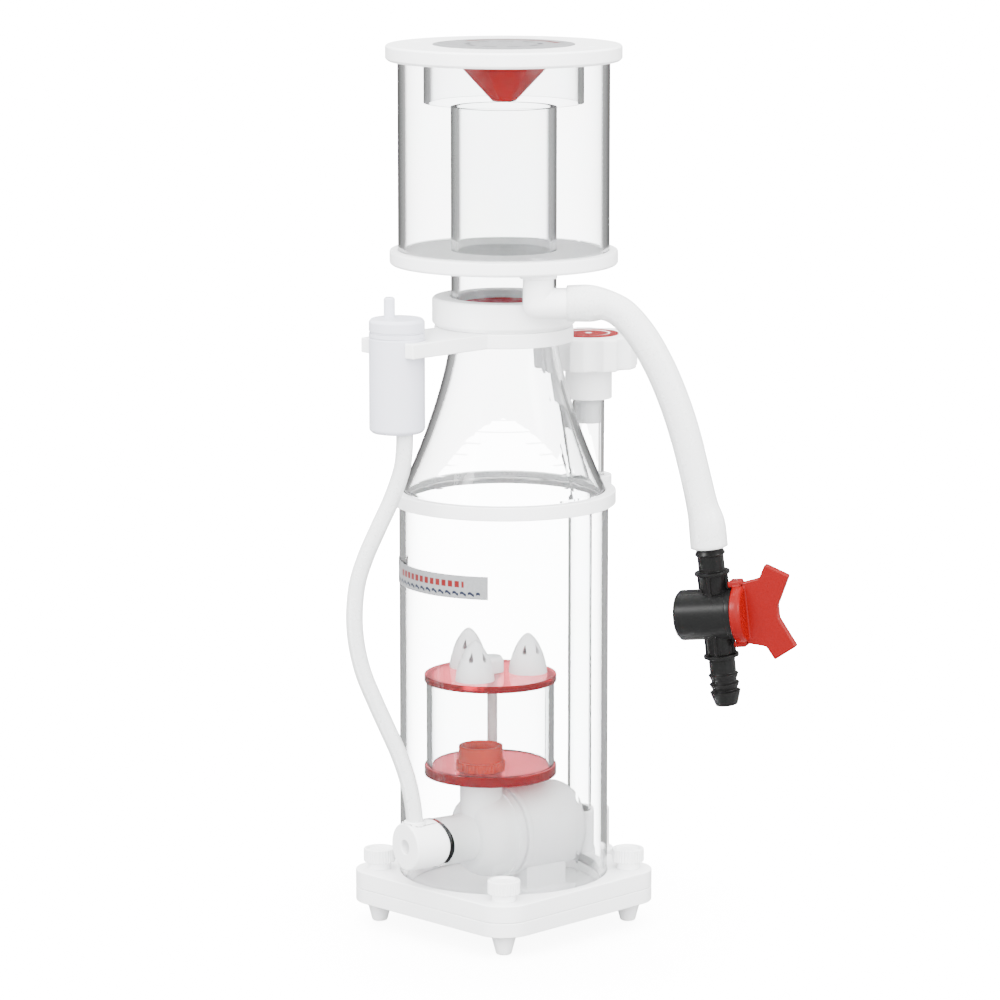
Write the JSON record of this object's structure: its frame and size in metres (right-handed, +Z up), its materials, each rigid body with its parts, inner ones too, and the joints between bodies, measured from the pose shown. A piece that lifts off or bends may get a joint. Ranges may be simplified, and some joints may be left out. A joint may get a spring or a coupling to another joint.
{
  "type": "protein skimmer",
  "caption": "Clear upright aquarium foam skimmer: tube on a square screwed base, inner pump, flared neck, lift-off cup with lid, level riser, air silencer and a drain hose with valve.",
  "frame": {"origin": "on the axis of the reaction tube, in the plane of the four feet", "axes": "+Z up; -Y towards the air intake and silencer, +Y towards the outlet riser"},
  "size_m": [0.1902, 0.1686, 0.4239],
  "materials": {
    "white_plastic": "satin moulded and machined white plastic",
    "clear_acrylic": "polished clear acrylic",
    "red_acrylic": "polished translucent red acrylic",
    "red_plastic": "glossy moulded red plastic",
    "red_rubber": "soft red silicone",
    "grey_rubber": "matt dark rubber",
    "pearl_plastic": "pale blue-grey satin plastic",
    "filter_foam": "open-cell dark foam",
    "milky_tubing": "soft milky tubing",
    "pale_bearing": "smooth pale plastic",
    "magnet": "sealed black ferrite",
    "shaft_steel": "ground shaft",
    "black_plastic": "glossy moulded black plastic",
    "ball_plastic": "polished white plastic",
    "silver_film": "silver-grey printed film"
  },
  "bodies": {
    "root": {"base_plate": "white_plastic", "body_flange": "white_plastic", "base_seal": "grey_rubber", "feet": "white_plastic", "body_tube": "clear_acrylic", "mid_ring": "white_plastic", "reducer": "clear_acrylic", "neck_collar": "white_plastic", "collar_seal": "red_rubber", "silencer_bracket": "white_plastic", "silencer_body": "pearl_plastic", "silencer_cap": "pearl_plastic", "silencer_foam": "filter_foam", "air_hose": "milky_tubing", "venturi_nozzle": "white_plastic", "intake_pipe": "white_plastic", "pump_volute": "white_plastic", "pump_motor": "white_plastic", "pump_foot": "white_plastic", "pump_oring": "grey_rubber", "front_bush": "pale_bearing", "rear_bush": "pale_bearing", "cable_gland": "grey_rubber", "chamber_lower_disc": "red_acrylic", "chamber_tube": "clear_acrylic", "chamber_upper_disc": "red_acrylic", "outlet_nozzle": "red_plastic", "bubble_dome_1": "white_plastic", "bubble_dome_2": "white_plastic", "bubble_dome_3": "white_plastic", "chamber_rod": "pale_bearing", "chamber_knob": "white_plastic", "chamber_nut": "white_plastic", "riser_socket": "white_plastic", "riser_tube": "clear_acrylic", "riser_sleeve": "white_plastic", "level_label": "silver_film"},
    "rotor": {"impeller": "red_plastic", "rotor_magnet": "magnet", "pump_shaft": "shaft_steel"},
    "knob": {"level_knob": "white_plastic", "level_knob_disc": "red_plastic", "control_tube": "white_plastic"},
    "thumbscrew_a": {"thumbscrew_1": "white_plastic"},
    "thumbscrew_b": {"thumbscrew_2": "white_plastic"},
    "thumbscrew_c": {"thumbscrew_3": "white_plastic"},
    "thumbscrew_d": {"thumbscrew_4": "white_plastic"},
    "cup": {"cup_floor": "white_plastic", "cup_tube": "clear_acrylic", "neck_tube": "clear_acrylic", "drain_elbow": "white_plastic", "drain_hose": "milky_tubing", "valve_body": "black_plastic", "valve_seats": "pale_bearing"},
    "lid": {"lid": "white_plastic", "lid_skirt": "clear_acrylic", "lid_deflector": "red_plastic", "lid_badge": "silver_film"},
    "valve": {"valve_ball": "ball_plastic", "valve_handle": "red_plastic"}
  },
  "joints": [
    {"name": "rotor_spin", "type": "hinge", "parent": "root", "child": "rotor", "pos_m": [0.0054, -0.0207, 0.0475], "axis": [0.1736, 0.9848, 0], "continuous": true},
    {"name": "level_turn", "type": "hinge", "parent": "root", "child": "knob", "pos_m": [0, 0.058, 0.273], "axis": [0, 0, 1], "range_deg": [0, 180]},
    {"name": "cup_lift", "type": "slide", "parent": "root", "child": "cup", "axis": [0, 0, 1], "range_m": [0, 0.06]},
    {"name": "lid_lift", "type": "slide", "parent": "cup", "child": "lid", "axis": [0, 0, 1], "range_m": [0, 0.03]},
    {"name": "valve_turn", "type": "hinge", "parent": "cup", "child": "valve", "pos_m": [0.09816, 0.04354, 0.1593], "axis": [0.9018, 0.4181, 0.1096], "range_deg": [0, 90]},
    {"name": "thumbscrew_a_turn", "type": "hinge", "parent": "root", "child": "thumbscrew_a", "pos_m": [-0.0425, -0.0425, 0.03], "axis": [0, 0, 1], "range_deg": [0, 720]},
    {"name": "thumbscrew_b_turn", "type": "hinge", "parent": "root", "child": "thumbscrew_b", "pos_m": [0.0425, -0.0425, 0.03], "axis": [0, 0, 1], "range_deg": [0, 720]},
    {"name": "thumbscrew_c_turn", "type": "hinge", "parent": "root", "child": "thumbscrew_c", "pos_m": [0.0425, 0.0425, 0.03], "axis": [0, 0, 1], "range_deg": [0, 720]},
    {"name": "thumbscrew_d_turn", "type": "hinge", "parent": "root", "child": "thumbscrew_d", "pos_m": [-0.0425, 0.0425, 0.03], "axis": [0, 0, 1], "range_deg": [0, 720]}
  ]
}
